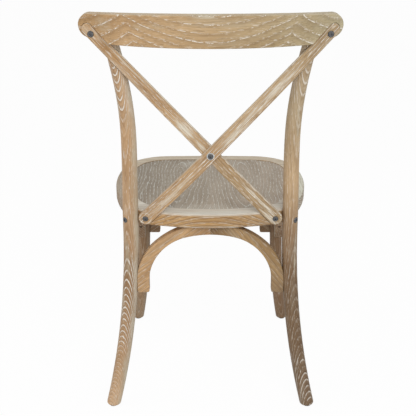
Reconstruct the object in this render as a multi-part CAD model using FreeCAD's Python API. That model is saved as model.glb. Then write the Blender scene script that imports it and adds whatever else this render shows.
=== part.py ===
import FreeCAD, Part
import math
import os

# Cross back dining chair in limed solid wood, millimetres.
# X runs across the chair, the front faces -Y and Z points up. The origin is on the
# floor, at the middle of the chair's width and depth. Left is the sitter's left, +X.

# Overall sizes. The crest rail stands behind the seat frame by the overhang.
overall_depth = 500.0
seat_height = 457.0
back_height = 885.5
crest_overhang = 80.0

# Seat frame, its outline in plan and its rebate for the panel
seat_width = 448.4
seat_widest_from_rear = 244.0
seat_thickness = 32.0
rear_edge_radius = 440.0
side_edge_radius = 428.0
front_edge_radius = 2400.0
rear_corner_radius = 108.0
front_corner_radius = 110.0
rim_width = 35.0
ledge_width = 25.0
frame_edge_round = 6.0
rear_joint_angle = 76.0
front_joint_angle = 90.0

# Seat panel, plywood let into the frame
panel_thickness = 9.0
panel_sink = 1.0
panel_clearance = 0.3
panel_edge_round = 0.6

# Dowels in the joints of the seat frame and of the arches
dowel_radius = 4.0
dowel_chamfer = 1.0
dowel_end_room = 1.0
frame_dowel_length = 40.0
frame_dowel_insets = (12.0, 29.0)
arch_dowel_length = 36.0

# Rear legs, each one bent piece from the floor to the crest rail
rear_foot_radius = 16.0
rear_seat_radius = 17.0
rear_top_radius = 15.2
rear_leg_angle = 42.79
leg_housing_depth = 4.54
rear_foot_spread = 49.5
rear_foot_kick = 62.0
rear_spread_power = 2.25
rear_kick_power = 1.8
waist_height = 620.0
waist_draw = 3.4
post_top_inset = 61.5
post_flare_power = 2.0
post_lean_power = 1.5
post_forward_offset = 6.0

# Front legs
front_top_radius = 16.5
front_foot_radius = 14.5
front_leg_angle = 49.57
front_leg_inset = 26.33
front_foot_spread = 27.0
front_foot_kick = 18.0
front_curve_power = 2.9
front_tenon_radius = 10.0
front_tenon_length = 18.0

# Every leg is drawn through level circles about this far apart
leg_section_spacing = 65.5

# Feet
foot_round = 5.0
glide_radius = 9.0
glide_height = 3.0
glide_edge_round = 1.0
glide_nail_radius = 1.2
glide_nail_length = 14.0

# Crest rail, sawn to a curve in plan and leaning back
crest_half_width = 256.5
crest_height = 64.2
crest_thickness = 30.0
crest_radius = 580.0
crest_lean = 8.3
crest_top_radius = 8800.0
crest_under_radius = 7600.0
crest_end_radius = 23.5
crest_sweep_radius = 150.0
crest_rear_round = 2.5
crest_front_round = 5.0
crest_tenon_inset = 19.0
crest_tenon_radius = 9.0
crest_tenon_length = 34.0
tenon_root = 8.0
tenon_clearance = 0.1
tenon_end_room = 1.0

# Cross slats, two bent and tapered strips bowed rearward where they cross. Their front
# faces are placed at the screws from the crest rail's ends and top and rearmost point, and
# from the rear legs and the seat frame's top and rear.
slat_top_end_inset = 26.5
slat_top_drop = 40.2
slat_top_forward = 62.0
slat_top_screw_drop = 1.9
slat_tip_reach = 10.5
slat_bottom_leg_inset = 33.4
slat_bottom_drop = 14.0
slat_bottom_forward = 25.0
slat_thickness = 9.0
slat_top_width = 23.0
slat_bottom_width = 30.0
inner_slat_bow = 5.0
slat_cross_gap = 0.2
slat_housing_clearance = 1.0
slat_housing_reach = 40.0
slat_edge_round = 2.0

# Arches below the seat, each of two sawn halves. Their edges are three-centred, and the
# radii are shares of half the edge's span.
arch_height = 160.0
arch_thickness = 22.0
arch_crown_depth = 20.5
arch_tail_depth = 27.0
arch_inner_crown_share = 1.63
arch_inner_haunch_share = 0.81
arch_outer_crown_share = 1.11
arch_outer_haunch_share = 0.73
arch_crown_bury = 5.4
arch_scribe_depth = 1.0
arch_edge_round = 2.5
arch_end_round = 4.0
rear_arch_shift = 7.0
front_arch_shift = -5.0
side_arch_half_gap = 178.0

# Screws and bolts with a low round head and a hexagon socket
head_radius = 6.0
head_height = 3.0
head_edge_round = 1.0
head_clearance = 0.5
slat_head_recess = 1.5
leg_head_recess = 2.5
leg_bolt_drop = 3.5
socket_half_width = 2.0
socket_depth = 1.8
slat_screw_radius = 2.4
slat_screw_length = 30.0
bolt_radius = 3.0
bolt_clearance = 0.3
bolt_beyond_nut = 8.0
barrel_nut_radius = 5.0
barrel_nut_length = 16.0
barrel_nut_inset = 27.0
washer_radius = 8.0
washer_thickness = 1.2
cross_nut_half_width = 5.0
cross_nut_height = 4.0
cross_bolt_end = 1.5

# Countersunk wood screws of the arches
wood_screw_radius = 2.0
wood_screw_length = 38.0
wood_screw_head_radius = 4.0
wood_screw_head_depth = 3.0
end_screw_rise = 16.0
side_end_screw_rise = 32.0
crown_screw_offset = 26.0

# A cutting solid starts this far outside what it cuts, and the large ones are this big.
# Edges are found to within the tolerance.
cut_start = 1.0
reach = 1000.0
tolerance = 0.01

# Sizes that follow from those above
seat_front_y = -overall_depth / 2
seat_rear_y = overall_depth / 2 - crest_overhang
seat_bottom = seat_height - seat_thickness
seat_middle = seat_height - seat_thickness / 2
leg_bolt_height = seat_middle - leg_bolt_drop
ledge_top = seat_height - panel_sink - panel_thickness
ring_width = rim_width + ledge_width
arch_end_height = seat_bottom - arch_height
arch_tail_height = arch_end_height + end_screw_rise
post_top_half_gap = crest_half_width - post_top_inset
up = FreeCAD.Vector(0, 0, 1)


def vector(x, y, z):
    return FreeCAD.Vector(x, y, z)


def mirrored(shape):
    return shape.mirror(vector(0, 0, 0), vector(1, 0, 0))


def cylinder(radius, length, start, direction):
    return Part.makeCylinder(radius, length, start, direction)


def cut_all(shape, tools):
    for tool in tools:
        shape = shape.cut(tool)
    return shape


def polygon_prism(points, height):
    wire = Part.makePolygon(points + [points[0]])
    return Part.Face(wire).extrude(vector(0, 0, height))


def hexagon_prism(half_width, height, start, direction):
    """Six-sided prism, its half width measured across the flats."""
    corner = half_width / math.cos(math.pi / 6)
    points = []
    for number in range(6):
        angle = number * math.pi / 3
        points.append(vector(corner * math.cos(angle), corner * math.sin(angle), 0))
    prism = polygon_prism(points, height)
    prism.Placement = FreeCAD.Placement(start, FreeCAD.Rotation(up, direction))
    return prism


def angle_of(direction):
    return math.atan2(direction.y, direction.x)


def bearing(degrees, toward_y):
    """Unit vector in plan, turned toward +X from the +Y or -Y direction."""
    angle = math.radians(degrees)
    return vector(math.sin(angle), toward_y * math.cos(angle), 0)


def corner_centre(long_centre, long_reach, side_centre, side_reach, quadrant):
    """Centre of a corner arc that is tangent to a long edge and to the side edge."""
    between = side_centre - long_centre
    distance = between.Length
    along = (long_reach ** 2 - side_reach ** 2 + distance ** 2) / (2 * distance)
    across = math.sqrt(long_reach ** 2 - along ** 2)
    unit = between / distance
    normal = unit.cross(up)
    if normal.dot(quadrant) < 0:
        normal = normal * -1
    return long_centre + unit * along + normal * across


# The seat's outline is four shallow arcs joined by corner arcs tangent to them.
rear_centre = vector(0, seat_rear_y - rear_edge_radius, 0)
front_centre = vector(0, seat_front_y + front_edge_radius, 0)
side_centre = vector(seat_width / 2 - side_edge_radius, seat_rear_y - seat_widest_from_rear, 0)
rear_corner = corner_centre(
    rear_centre, rear_edge_radius - rear_corner_radius,
    side_centre, side_edge_radius - rear_corner_radius, vector(1, 1, 0))
front_corner = corner_centre(
    front_centre, front_edge_radius - front_corner_radius,
    side_centre, side_edge_radius - front_corner_radius, vector(1, -1, 0))

# Each leg stands on a bearing from its corner's centre. The rear leg is housed over the
# frame's corner, and the front leg stands under it.
rear_bearing = bearing(rear_leg_angle, 1)
front_bearing = bearing(front_leg_angle, -1)
rear_leg_seat = rear_corner + rear_bearing * (
    rear_corner_radius + rear_seat_radius - leg_housing_depth)
front_leg_seat = front_corner + front_bearing * (front_corner_radius - front_leg_inset)


def plan_arc(centre, radius, start_angle, end_angle, z):
    points = []
    for angle in (start_angle, (start_angle + end_angle) / 2, end_angle):
        x = centre.x + radius * math.cos(angle)
        y = centre.y + radius * math.sin(angle)
        points.append(vector(x, y, z))
    return Part.Arc(*points).toShape()


def seat_prism(inset, bottom, top):
    """Prism of the seat's outline, moved inward by an even inset."""
    rear_turn = angle_of(rear_corner - rear_centre)
    front_turn = angle_of(front_corner - front_centre)
    side_rear_turn = angle_of(rear_corner - side_centre)
    side_front_turn = angle_of(front_corner - side_centre)
    half = [
        plan_arc(front_corner, front_corner_radius - inset, front_turn, side_front_turn, bottom),
        plan_arc(side_centre, side_edge_radius - inset, side_front_turn, side_rear_turn, bottom),
        plan_arc(rear_corner, rear_corner_radius - inset, side_rear_turn, rear_turn, bottom),
    ]
    rear = plan_arc(rear_centre, rear_edge_radius - inset, rear_turn, math.pi - rear_turn, bottom)
    front = plan_arc(
        front_centre, front_edge_radius - inset, -math.pi - front_turn, front_turn, bottom)
    edges = half + [rear] + [mirrored(edge) for edge in half] + [front]
    wire = Part.Wire(Part.__sortEdges__(edges))
    return Part.Face(wire).extrude(vector(0, 0, top - bottom))


def edges_at_heights(shape, heights):
    found = []
    for edge in shape.Edges:
        box = edge.BoundBox
        for height in heights:
            if abs(box.ZMin - height) < tolerance and abs(box.ZMax - height) < tolerance:
                found.append(edge)
    return found


def seat_ring():
    """Whole seat frame before it is parted into rails."""
    blank = seat_prism(0, seat_bottom, seat_height)
    blank = blank.makeFillet(frame_edge_round, edges_at_heights(blank, (seat_bottom, seat_height)))
    opening = seat_prism(ring_width, seat_bottom - cut_start, seat_height + cut_start)
    rebate = seat_prism(rim_width, ledge_top, seat_height + cut_start)
    return blank.cut(opening).cut(rebate)


def rail_region(corner, direction, toward_y):
    """Prism that takes the rear or the front rail out of the ring, joints included."""
    joint = corner + direction * reach
    half = [corner, joint, vector(joint.x, toward_y * reach, 0)]
    others = [vector(-point.x, point.y, 0) for point in reversed(half)]
    return polygon_prism(half + others, seat_height + cut_start)


# Corner centre, outward direction and corner radius of the left joints of the seat frame
frame_joints = (
    (rear_corner, bearing(rear_joint_angle, 1), rear_corner_radius),
    (front_corner, bearing(front_joint_angle, -1), front_corner_radius),
)


def dowel(length, middle, direction):
    start = middle - direction * (length / 2)
    pin = cylinder(dowel_radius, length, start, direction)
    ends = [edge for edge in pin.Edges if len(edge.Vertexes) == 1]
    return pin.makeChamfer(dowel_chamfer, ends)


def dowel_hole(length, middle, direction):
    room = length + 2 * dowel_end_room
    return cylinder(dowel_radius, room, middle - direction * (room / 2), direction)


def frame_dowel_places():
    places = []
    for corner, direction, radius in frame_joints:
        for inset in frame_dowel_insets:
            middle = corner + direction * (radius - inset)
            middle.z = seat_middle
            places.append((middle, direction.cross(up)))
    return places


def seat_frame_dowels():
    left = [dowel(frame_dowel_length, middle, along) for middle, along in frame_dowel_places()]
    return Part.makeCompound(left + [mirrored(pin) for pin in left])


def frame_dowel_holes():
    left = [dowel_hole(frame_dowel_length, middle, along)
            for middle, along in frame_dowel_places()]
    return left + [mirrored(hole) for hole in left]


def seat_panel():
    top = seat_height - panel_sink
    board = seat_prism(rim_width + panel_clearance, ledge_top, top)
    return board.makeFillet(panel_edge_round, edges_at_heights(board, (top,)))


# The crest rail is curved in plan and leans back without tilting its ends. It is drawn
# with its lower rear edge at the origin at mid-width, and then moved up.
crest_turn = math.radians(crest_lean)
crest_up = vector(0, math.sin(crest_turn), math.cos(crest_turn))
crest_origin = vector(0, overall_depth / 2, back_height) - crest_up * crest_height


def crest_point(x, inset, height):
    """Point inset in plan from the crest rail's rear face, at a height up its lean."""
    y = math.sqrt((crest_radius - inset) ** 2 - x ** 2) - crest_radius
    return crest_origin + vector(x, y, 0) + crest_up * height


def crest_band():
    edges = []
    ends = []
    for radius in (crest_radius, crest_radius - crest_thickness):
        half = crest_half_width + cut_start
        side_y = math.sqrt(radius ** 2 - half ** 2) - crest_radius
        start = vector(-half, side_y, 0)
        middle = vector(0, radius - crest_radius, 0)
        end = vector(half, side_y, 0)
        edges.append(Part.Arc(start, middle, end).toShape())
        ends.append((start, end))
    for side in (0, 1):
        edges.append(Part.makeLine(ends[0][side], ends[1][side]))
    wire = Part.Wire(Part.__sortEdges__(edges))
    band = Part.Face(wire).extrude(crest_up * (crest_height + 2 * cut_start))
    band.translate(crest_up * -cut_start)
    return band


def crest_outline():
    """Prism of the rail's front view: a crowned top, a crowned underside, and ends that
    sweep up from below into a small round."""
    top_centre = vector(0, crest_height * crest_up.z - crest_top_radius, 0)
    under_centre = vector(0, crest_under_radius, 0)
    end_x = crest_half_width - crest_end_radius
    end_rise = math.sqrt((crest_top_radius - crest_end_radius) ** 2 - end_x ** 2)
    end = vector(end_x, top_centre.y + end_rise, 0)
    sweep = corner_centre(
        under_centre, crest_under_radius - crest_sweep_radius,
        end, crest_sweep_radius - crest_end_radius, vector(-1, 0, 0))
    top_turn = angle_of(end - top_centre)
    end_turn = angle_of(end - sweep)
    under_turn = angle_of(sweep - under_centre)
    half = [
        plan_arc(end, crest_end_radius, end_turn, top_turn, 0),
        plan_arc(sweep, crest_sweep_radius, under_turn, end_turn, 0),
    ]
    top = plan_arc(top_centre, crest_top_radius, top_turn, math.pi - top_turn, 0)
    under = plan_arc(under_centre, crest_under_radius, -math.pi - under_turn, under_turn, 0)
    edges = half + [mirrored(edge) for edge in half] + [top, under]
    prism = Part.Face(Part.Wire(Part.__sortEdges__(edges))).extrude(vector(0, 0, reach))
    turn = FreeCAD.Rotation(vector(1, 0, 0), 90)
    prism.Placement = FreeCAD.Placement(vector(0, reach / 2, 0), turn)
    return prism


def crest_blank():
    """Crest rail without its bores and pockets."""
    blank = crest_band().common(crest_outline())
    for radius, rounding in (
            (crest_radius - crest_thickness, crest_front_round),
            (crest_radius, crest_rear_round)):
        rims = []
        for edge in blank.Edges:
            middle = edge.valueAt((edge.FirstParameter + edge.LastParameter) / 2)
            points = [vertex.Point for vertex in edge.Vertexes] + [middle]
            gaps = []
            for point in points:
                plan = point - crest_up * (point.z / crest_up.z)
                gaps.append(abs(math.hypot(plan.x, plan.y + crest_radius) - radius))
            if max(gaps) < tolerance:
                rims.append(edge)
        blank = blank.makeFillet(rounding, rims)
    blank.translate(crest_origin)
    return blank


def rear_leg_radius(z):
    if z < seat_middle:
        return rear_foot_radius + (rear_seat_radius - rear_foot_radius) * z / seat_middle
    share = (z - seat_middle) / (crest_origin.z - seat_middle)
    return rear_seat_radius + (rear_top_radius - rear_seat_radius) * share


post_top = crest_point(post_top_half_gap, crest_tenon_inset, 0)
post_top = post_top - vector(0, post_forward_offset, 0)


def rear_leg_centre(z):
    """Centre of the bent leg: it kicks out and back to the foot, draws in to a waist
    above the seat, and flares and leans back to the crest rail."""
    if z < seat_middle:
        drop = (seat_middle - z) / seat_middle
        x = rear_leg_seat.x + rear_foot_spread * drop ** rear_spread_power
        y = rear_leg_seat.y + rear_foot_kick * drop ** rear_kick_power
        return vector(x, y, z)
    waist_x = rear_leg_seat.x - waist_draw
    if z < waist_height:
        rise = (z - seat_middle) / (waist_height - seat_middle)
        x = rear_leg_seat.x - waist_draw * rise ** 2 * (3 - 2 * rise)
    else:
        rise = (z - waist_height) / (post_top.z - waist_height)
        x = waist_x + (post_top_half_gap - waist_x) * rise ** post_flare_power
    lean = (z - seat_middle) / (post_top.z - seat_middle)
    y = rear_leg_seat.y + (post_top.y - rear_leg_seat.y) * lean ** post_lean_power
    return vector(x, y, z)


def lofted_leg(centre_at, radius_at, bottom, top):
    """Round leg through level circles, with its foot rounded over."""
    steps = round((top - bottom) / leg_section_spacing)
    wires = []
    for number in range(steps + 1):
        z = bottom + (top - bottom) * number / steps
        wires.append(Part.Wire(Part.makeCircle(radius_at(z), centre_at(z))))
    leg = Part.makeLoft(wires, True, False)
    return leg.makeFillet(foot_round, edges_at_heights(leg, (bottom,)))


def above_crest_underside():
    """Everything above the level or swept underside of the crest rail."""
    outline = crest_outline()
    outline.translate(crest_origin)
    start = vector(-reach, -reach, crest_origin.z + crest_height / 2)
    return outline.fuse(Part.makeBox(2 * reach, 2 * reach, reach, start))


def rear_leg_blank():
    """Rear leg cut to length at the crest rail's underside, with its tenon."""
    top = post_top.z + 2 * rear_top_radius
    leg = lofted_leg(rear_leg_centre, rear_leg_radius, glide_height, top)
    root = crest_point(post_top_half_gap, crest_tenon_inset, -tenon_root)
    tenon = cylinder(crest_tenon_radius, tenon_root + crest_tenon_length, root, crest_up)
    return leg.cut(above_crest_underside()).fuse(tenon)


def crest_mortise():
    start = crest_point(post_top_half_gap, crest_tenon_inset, -cut_start)
    depth = crest_tenon_length + tenon_end_room + cut_start
    return cylinder(crest_tenon_radius + tenon_clearance, depth, start, crest_up)


def front_leg_radius(z):
    return front_foot_radius + (front_top_radius - front_foot_radius) * z / seat_bottom


def front_leg_centre(z):
    drop = ((seat_bottom - z) / seat_bottom) ** front_curve_power
    x = front_leg_seat.x + front_foot_spread * drop
    y = front_leg_seat.y - front_foot_kick * drop
    return vector(x, y, z)


def front_leg_blank():
    leg = lofted_leg(front_leg_centre, front_leg_radius, glide_height, seat_bottom)
    root = front_leg_centre(seat_bottom - tenon_root)
    root.x = front_leg_seat.x
    root.y = front_leg_seat.y
    return leg.fuse(cylinder(front_tenon_radius, tenon_root + front_tenon_length, root, up))


def front_mortise():
    start = vector(front_leg_seat.x, front_leg_seat.y, seat_bottom - cut_start)
    depth = front_tenon_length + tenon_end_room + cut_start
    return cylinder(front_tenon_radius + tenon_clearance, depth, start, up)


# The cross slats lie in a plane that leans back. A slat is drawn with x along it from its
# lower screw, y rearward and z across its width, and is then turned into that plane.
slat_top_half_gap = crest_half_width - slat_top_end_inset
slat_top_height = back_height - slat_top_drop
slat_top_y = overall_depth / 2 - slat_top_forward
slat_bottom_half_gap = rear_leg_seat.x - slat_bottom_leg_inset
slat_bottom_height = seat_height - slat_bottom_drop
slat_bottom_y = seat_rear_y - slat_bottom_forward
slat_rise = slat_top_height - slat_bottom_height
slat_lean = math.atan2(slat_top_y - slat_bottom_y, slat_rise)
slat_plane_up = vector(0, math.sin(slat_lean), math.cos(slat_lean))
slat_rearward = vector(0, math.cos(slat_lean), -math.sin(slat_lean))
slat_plane_rise = slat_rise / math.cos(slat_lean)
slat_across = slat_top_half_gap + slat_bottom_half_gap
slat_length = math.hypot(slat_across, slat_plane_rise)
slat_slope = math.atan2(slat_plane_rise, slat_across)
slat_lower_length = slat_bottom_half_gap / math.cos(slat_slope)
slat_upper_length = slat_length - slat_lower_length
slat_along = vector(math.cos(slat_slope), 0, 0) + slat_plane_up * math.sin(slat_slope)
slat_width_way = vector(-math.sin(slat_slope), 0, 0) + slat_plane_up * math.cos(slat_slope)
slat_place = FreeCAD.Placement(
    vector(-slat_bottom_half_gap, slat_bottom_y, slat_bottom_height),
    FreeCAD.Rotation(slat_along, slat_rearward, slat_width_way, "XYZ"))
outer_slat_bow = inner_slat_bow + slat_thickness + slat_cross_gap
slat_overhang = slat_bottom_width


def bow_radius(bow, length):
    return (length ** 2 + bow ** 2) / (2 * bow)


def slat_surface(bow, offset, s):
    """Point of a bowed slat's surface, offset rearward from its front face."""
    length = slat_lower_length if s < slat_lower_length else slat_upper_length
    radius = bow_radius(bow, length)
    depth = math.sqrt((radius + offset) ** 2 - (s - slat_lower_length) ** 2)
    return vector(s, bow - radius + depth, 0)


def slat_normal(bow, s):
    length = slat_lower_length if s < slat_lower_length else slat_upper_length
    centre = vector(slat_lower_length, bow - bow_radius(bow, length), 0)
    return (slat_surface(bow, 0, s) - centre).normalize()


def slat_band(bow, thickness):
    """Bowed strip, wider than the slat: two arcs that meet level at the crossing."""
    stops = (-slat_overhang, slat_lower_length, slat_length + slat_overhang)
    edges = []
    for offset in (0, thickness):
        for start, end in zip(stops, stops[1:]):
            points = [slat_surface(bow, offset, s) for s in (start, (start + end) / 2, end)]
            edges.append(Part.Arc(*points).toShape())
    for stop in (stops[0], stops[-1]):
        edges.append(Part.makeLine(
            slat_surface(bow, 0, stop), slat_surface(bow, thickness, stop)))
    face = Part.Face(Part.Wire(Part.__sortEdges__(edges)))
    band = face.extrude(vector(0, 0, 2 * slat_bottom_width))
    band.translate(vector(0, 0, -slat_bottom_width))
    return band


def slat_outline(clearance):
    """Prism of the slat's tapered outline, with round ends."""
    low = slat_bottom_width / 2 + clearance
    high = slat_top_width / 2 + clearance
    last = slat_length + slat_tip_reach
    tilt = math.asin((low - high) / last)
    sides = []
    tips = []
    for radius, middle, tip in ((low, 0, -low), (high, last, last + high)):
        across = radius * math.cos(tilt)
        tangent_x = middle + radius * math.sin(tilt)
        sides.append((vector(tangent_x, -reach / 2, -across), vector(tangent_x, -reach / 2, across)))
        tips.append(vector(tip, -reach / 2, 0))
    edges = [Part.makeLine(sides[0][0], sides[1][0]), Part.makeLine(sides[0][1], sides[1][1])]
    for side, tip in zip(sides, tips):
        edges.append(Part.Arc(side[0], tip, side[1]).toShape())
    wire = Part.Wire(Part.__sortEdges__(edges))
    return Part.Face(wire).extrude(vector(0, reach, 0))


def slat_blank(bow):
    """Slat with its long edges eased, still in its own frame."""
    strip = slat_band(bow, slat_thickness).common(slat_outline(0))
    rims = []
    for edge in strip.Edges:
        ends = [vertex.Point for vertex in edge.Vertexes]
        run = ends[0].distanceToPoint(ends[1])
        through = abs(ends[0].z - ends[1].z) < tolerance and run < 2 * slat_thickness
        level = max(abs(point.x - slat_lower_length) for point in ends) < tolerance
        if not through and not level:
            rims.append(edge)
    return strip.makeFillet(slat_edge_round, rims)


def slat_housing(bow):
    """Room behind a slat's front face, which is cut out of whatever the slat lies on."""
    strip = slat_band(bow, slat_housing_reach)
    room = strip.common(slat_outline(slat_housing_clearance))
    room.Placement = slat_place
    return room


def slat_housings():
    return [slat_housing(inner_slat_bow), mirrored(slat_housing(outer_slat_bow))]


def socket_prism(seat, direction):
    """Hexagon socket sunk in the face of a head."""
    face_middle = seat - direction * head_height
    return hexagon_prism(socket_half_width, socket_depth, face_middle, direction)


def round_head(seat, direction):
    head = cylinder(head_radius, head_height, seat, direction * -1)
    face_middle = seat - direction * head_height
    rim = [edge for edge in head.Edges
           if (edge.CenterOfMass - face_middle).Length < tolerance and len(edge.Vertexes) == 1]
    return head.makeFillet(head_edge_round, rim).cut(socket_prism(seat, direction))


def headed_screw(seat, direction, radius, length):
    return round_head(seat, direction).fuse(cylinder(radius, length, seat, direction))


def head_room(seat, direction):
    """Counterbore for a head, open away from the wood."""
    return cylinder(head_radius + head_clearance, slat_thickness, seat, direction * -1)


def slat_screw_place(bow, s):
    """Seat and direction of a slat's screw, square to the slat's rear face."""
    normal = slat_normal(bow, s)
    seat = slat_surface(bow, slat_thickness - slat_head_recess, s)
    if s == slat_length:
        seat.z = -slat_top_screw_drop
    turn = slat_place.Rotation
    return slat_place.multVec(seat), turn.multVec(normal) * -1


def slat_screw(bow, s):
    seat, direction = slat_screw_place(bow, s)
    return headed_screw(seat, direction, slat_screw_radius, slat_screw_length)


def slat_screws(s):
    return [slat_screw(inner_slat_bow, s), mirrored(slat_screw(outer_slat_bow, s))]


def crossing_point(offset):
    """Point on the line of the crossing bolt, offset rearward from the slats' plane."""
    return slat_place.multVec(vector(slat_lower_length, offset, 0))


def crossing_bolt():
    rear = outer_slat_bow + slat_thickness + washer_thickness
    front = inner_slat_bow - washer_thickness - cross_nut_height - cross_bolt_end
    return headed_screw(crossing_point(rear), slat_rearward * -1, bolt_radius, rear - front)


def crossing_hole():
    start = crossing_point(-reach / 2)
    return cylinder(bolt_radius + bolt_clearance, reach, start, slat_rearward)


def washer(offset):
    start = crossing_point(offset)
    disc = cylinder(washer_radius, washer_thickness, start, slat_rearward)
    return disc.cut(crossing_hole())


def crossing_washers():
    rear = outer_slat_bow + slat_thickness
    front = inner_slat_bow - washer_thickness
    return Part.makeCompound([washer(rear), washer(front)])


def crossing_nut():
    start = crossing_point(inner_slat_bow - washer_thickness - cross_nut_height)
    nut = hexagon_prism(cross_nut_half_width, cross_nut_height, start, slat_rearward)
    return nut.cut(cylinder(bolt_radius, reach, crossing_point(-reach / 2), slat_rearward))


def cross_slat(bow):
    """Slat in its place, rising toward +X, with its counterbores and holes."""
    slat = slat_blank(bow)
    slat.Placement = slat_place
    for s in (0, slat_length):
        seat, direction = slat_screw_place(bow, s)
        slat = slat.cut(head_room(seat, direction)).cut(slat_screw(bow, s))
    return slat.cut(crossing_hole())


# The bolt of a rear leg lies on the leg's bearing, within the seat frame's height, and
# runs inward to a barrel nut that stands upright in the frame's rear corner.
leg_bolt_seat = rear_leg_seat + rear_bearing * (rear_seat_radius - leg_head_recess)
leg_bolt_seat.z = leg_bolt_height
barrel_nut_middle = rear_corner + rear_bearing * (rear_corner_radius - barrel_nut_inset)
barrel_nut_middle.z = leg_bolt_height
leg_bolt_length = (leg_bolt_seat - barrel_nut_middle).Length + bolt_beyond_nut


def rear_leg_bolt():
    return headed_screw(leg_bolt_seat, rear_bearing * -1, bolt_radius, leg_bolt_length)


def rear_leg_bolt_hole():
    length = leg_bolt_length + dowel_end_room
    return cylinder(bolt_radius + bolt_clearance, length, leg_bolt_seat, rear_bearing * -1)


def barrel_nut():
    start = barrel_nut_middle - up * (barrel_nut_length / 2)
    nut = cylinder(barrel_nut_radius, barrel_nut_length, start, up)
    return nut.cut(cylinder(bolt_radius, leg_bolt_length, leg_bolt_seat, rear_bearing * -1))


def barrel_nut_hole():
    top = barrel_nut_middle.z + barrel_nut_length / 2
    start = vector(barrel_nut_middle.x, barrel_nut_middle.y, seat_bottom - cut_start)
    return cylinder(barrel_nut_radius + tenon_clearance, top - start.z, start, up)


def both_sides(shape):
    return Part.makeCompound([shape, mirrored(shape)])


def glide(foot):
    """Nailed glide below a foot, with its nail up in the leg."""
    pad = cylinder(glide_radius, glide_height, foot, up)
    pad = pad.makeFillet(glide_edge_round, edges_at_heights(pad, (foot.z,)))
    return pad.fuse(cylinder(glide_nail_radius, glide_height + glide_nail_length, foot, up))


def foot_middle(centre_at):
    foot = centre_at(glide_height)
    return vector(foot.x, foot.y, 0)


rear_foot = foot_middle(rear_leg_centre)
front_foot = foot_middle(front_leg_centre)


def foot_glides():
    left = [glide(rear_foot), glide(front_foot)]
    return Part.makeCompound(left + [mirrored(pad) for pad in left])


def three_centred_edge(half_span, top, crown_share, haunch_share):
    """Crown arc, haunch arc and upright tail of half an arch's edge, and its two ends."""
    crown_radius = half_span * crown_share
    haunch_radius = half_span * haunch_share
    crown_centre = top - crown_radius
    haunch_x = half_span - haunch_radius
    gap = crown_radius - haunch_radius
    haunch_z = crown_centre + math.sqrt(gap ** 2 - haunch_x ** 2)
    turn = math.atan2(haunch_z - crown_centre, haunch_x)
    half_turn = (turn + math.pi / 2) / 2

    def on_crown(angle):
        return vector(crown_radius * math.cos(angle), 0,
                      crown_centre + crown_radius * math.sin(angle))

    def on_haunch(angle):
        return vector(haunch_x + haunch_radius * math.cos(angle), 0,
                      haunch_z + haunch_radius * math.sin(angle))

    crown = Part.Arc(on_crown(math.pi / 2), on_crown(half_turn), on_crown(turn)).toShape()
    haunch = Part.Arc(on_haunch(turn), on_haunch(turn / 2), on_haunch(0)).toShape()
    tail_end = vector(half_span, 0, arch_end_height)
    tail = Part.makeLine(on_haunch(0), tail_end)
    return [crown, haunch, tail], on_crown(math.pi / 2), tail_end


def arch_half_blank(half_span):
    """Half arch from its crown joint at local x = 0 to its foot against a leg."""
    inner, inner_crown, inner_end = three_centred_edge(
        half_span - arch_tail_depth, seat_bottom - arch_crown_depth,
        arch_inner_crown_share, arch_inner_haunch_share)
    outer, outer_crown, outer_end = three_centred_edge(
        half_span, seat_bottom + arch_crown_bury,
        arch_outer_crown_share, arch_outer_haunch_share)
    ends = [Part.makeLine(inner_crown, outer_crown), Part.makeLine(inner_end, outer_end)]
    wire = Part.Wire(Part.__sortEdges__(inner + outer + ends))
    half = Part.Face(wire).extrude(vector(0, arch_thickness, 0))
    half.translate(vector(0, -arch_thickness / 2, 0))
    corner = [edge for edge in half.Edges if (edge.CenterOfMass - inner_end).Length < tolerance]
    half = half.makeFillet(arch_end_round, corner)
    rims = []
    for edge in half.Edges:
        flat = edge.BoundBox.YLength < tolerance
        at_joint = edge.BoundBox.XMax < tolerance
        if flat and not at_joint:
            rims.append(edge)
    half = half.makeFillet(arch_edge_round, rims)
    above = Part.makeBox(2 * reach, reach, reach, vector(-reach, -reach / 2, seat_bottom))
    return half.cut(above)


def wood_screw(seat, direction):
    head = Part.makeCone(
        wood_screw_head_radius, wood_screw_radius, wood_screw_head_depth, seat, direction)
    return head.fuse(cylinder(wood_screw_radius, wood_screw_length, seat, direction))


def end_screw(half_span, rise):
    seat = vector(half_span - arch_tail_depth, 0, arch_end_height + rise)
    return wood_screw(seat, vector(1, 0, 0))


def crown_screw(half_span):
    radius = (half_span - arch_tail_depth) * arch_inner_crown_share
    centre_z = seat_bottom - arch_crown_depth - radius
    edge_z = centre_z + math.sqrt(radius ** 2 - crown_screw_offset ** 2)
    return wood_screw(vector(crown_screw_offset, 0, edge_z), up)


def arch_dowel_middle():
    return vector(0, 0, seat_bottom - arch_crown_depth / 2)


def placed(shape, middle, degrees):
    shape = shape.copy()
    shape.Placement = FreeCAD.Placement(middle, FreeCAD.Rotation(up, degrees)).multiply(
        shape.Placement)
    return shape


# Each arch stands midway between its two legs, at the height where its feet meet them.
rear_tail = rear_leg_centre(arch_tail_height)
front_tail = front_leg_centre(arch_tail_height)
rear_tail_radius = rear_leg_radius(arch_tail_height)
front_tail_radius = front_leg_radius(arch_tail_height)
side_rear_y = rear_tail.y - rear_tail_radius
side_front_y = front_tail.y + front_tail_radius
rear_half_span = rear_tail.x - rear_tail_radius + arch_scribe_depth
front_half_span = front_tail.x - front_tail_radius + arch_scribe_depth
side_half_span = (side_rear_y - side_front_y) / 2 + arch_scribe_depth
rear_arch_middle = vector(0, rear_leg_seat.y + rear_arch_shift, 0)
front_arch_middle = vector(0, front_leg_seat.y + front_arch_shift, 0)
side_arch_middle = vector(side_arch_half_gap, (side_rear_y + side_front_y) / 2, 0)

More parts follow.
